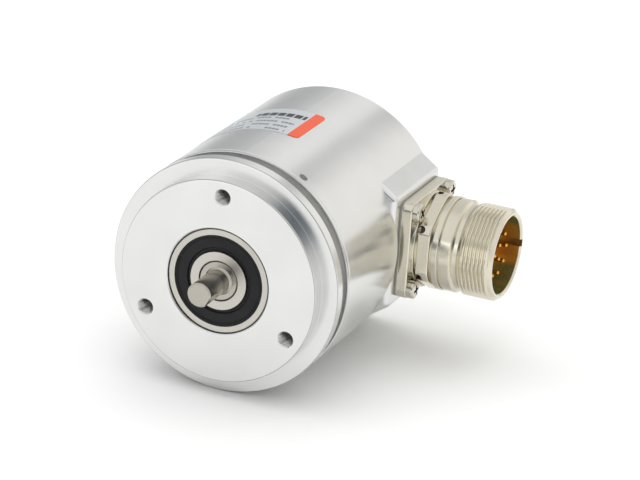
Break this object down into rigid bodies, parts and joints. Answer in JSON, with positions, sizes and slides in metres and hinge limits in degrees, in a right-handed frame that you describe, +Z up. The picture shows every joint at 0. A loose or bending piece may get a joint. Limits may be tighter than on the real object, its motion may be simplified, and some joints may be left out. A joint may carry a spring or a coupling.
{
  "type": "rotary encoder",
  "caption": "Shaft rotary encoder: round clamping flange with centring collar, smooth cylindrical housing and a side-mounted threaded round connector.",
  "frame": {"origin": "centre of the flange's front face, on the shaft axis", "axes": "-Y along the shaft towards its free end, +X along the connector towards its mouth, +Z up"},
  "size_m": [0.0811, 0.077, 0.0581],
  "materials": {
    "turned_aluminium": "fine turned, clear",
    "housing_aluminium": "satin",
    "hub_aluminium": "turned",
    "bearing_steel": "ground",
    "shaft_steel": "ground",
    "spring_steel": "blued",
    "cage_steel": "pressed",
    "seal_rubber": "moulded",
    "black_rubber": "moulded",
    "nickel_plate": "nickel plated",
    "screw_steel": "bright zinc",
    "contact_gold": "gold plated",
    "insulator_plastic": "moulded",
    "label_foil": "printed foil",
    "optical_glass": "polished",
    "board_green": "solder mask",
    "chip_black": "moulded",
    "header_plastic": "moulded",
    "cable_grey": "ribbon",
    "capacitor_can": "drawn can",
    "standoff_brass": "turned",
    "holder_plastic": "moulded"
  },
  "bodies": {
    "encoder_body": {"flange": "turned_aluminium", "housing": "housing_aluminium", "front_bearing_outer_ring": "bearing_steel", "rear_bearing_outer_ring": "bearing_steel", "preload_wave_washer": "spring_steel", "bearing_circlip": "spring_steel", "insulator_lock_ring": "spring_steel", "front_bearing_front_seal": "seal_rubber", "front_bearing_back_seal": "seal_rubber", "rear_bearing_front_seal": "seal_rubber", "rear_bearing_back_seal": "seal_rubber", "housing_oring": "black_rubber", "connector_gasket": "black_rubber", "insulator_oring": "black_rubber", "connector_shell": "nickel_plate", "connector_screws": "screw_steel", "lamp_holder_screws": "screw_steel", "interface_board_screws": "screw_steel", "contact_pins": "contact_gold", "connector_insulator": "insulator_plastic", "label": "label_foil", "reticle": "optical_glass", "lamp_lens": "optical_glass", "sensor_board": "board_green", "interface_board": "board_green", "contact_board": "board_green", "opto_chip": "chip_black", "infrared_lamp": "chip_black", "signal_processor": "chip_black", "line_driver": "chip_black", "voltage_regulator": "chip_black", "board_link": "header_plastic", "board_header": "header_plastic", "contact_header": "header_plastic", "flat_cable": "cable_grey", "smoothing_capacitors": "capacitor_can", "sensor_board_standoffs": "standoff_brass", "interface_board_standoffs": "standoff_brass", "lamp_holder": "holder_plastic"},
    "rotor": {"shaft": "shaft_steel", "front_bearing_inner_ring": "bearing_steel", "rear_bearing_inner_ring": "bearing_steel", "inner_ring_spacer": "bearing_steel", "shaft_circlip": "spring_steel", "disc_hub": "hub_aluminium", "code_disc": "optical_glass", "disc_clamp_ring": "hub_aluminium", "hub_screw": "screw_steel"},
    "front_ball_set": {"front_bearing_balls": "bearing_steel", "front_bearing_cage": "cage_steel"},
    "rear_ball_set": {"rear_bearing_balls": "bearing_steel", "rear_bearing_cage": "cage_steel"}
  },
  "joints": [
    {"name": "shaft_spin", "type": "hinge", "parent": "encoder_body", "child": "rotor", "pos_m": [0, 0, 0], "axis": [0, 1, 0], "continuous": true},
    {"name": "front_ball_orbit", "type": "hinge", "parent": "encoder_body", "child": "front_ball_set", "pos_m": [0, 0, 0], "axis": [0, 1, 0], "continuous": true},
    {"name": "rear_ball_orbit", "type": "hinge", "parent": "encoder_body", "child": "rear_ball_set", "pos_m": [0, 0, 0], "axis": [0, 1, 0], "continuous": true}
  ],
  "couplings": [
    {"joint": "front_ball_orbit", "follows": "shaft_spin", "ratio": 0.3677},
    {"joint": "rear_ball_orbit", "follows": "shaft_spin", "ratio": 0.4008}
  ]
}
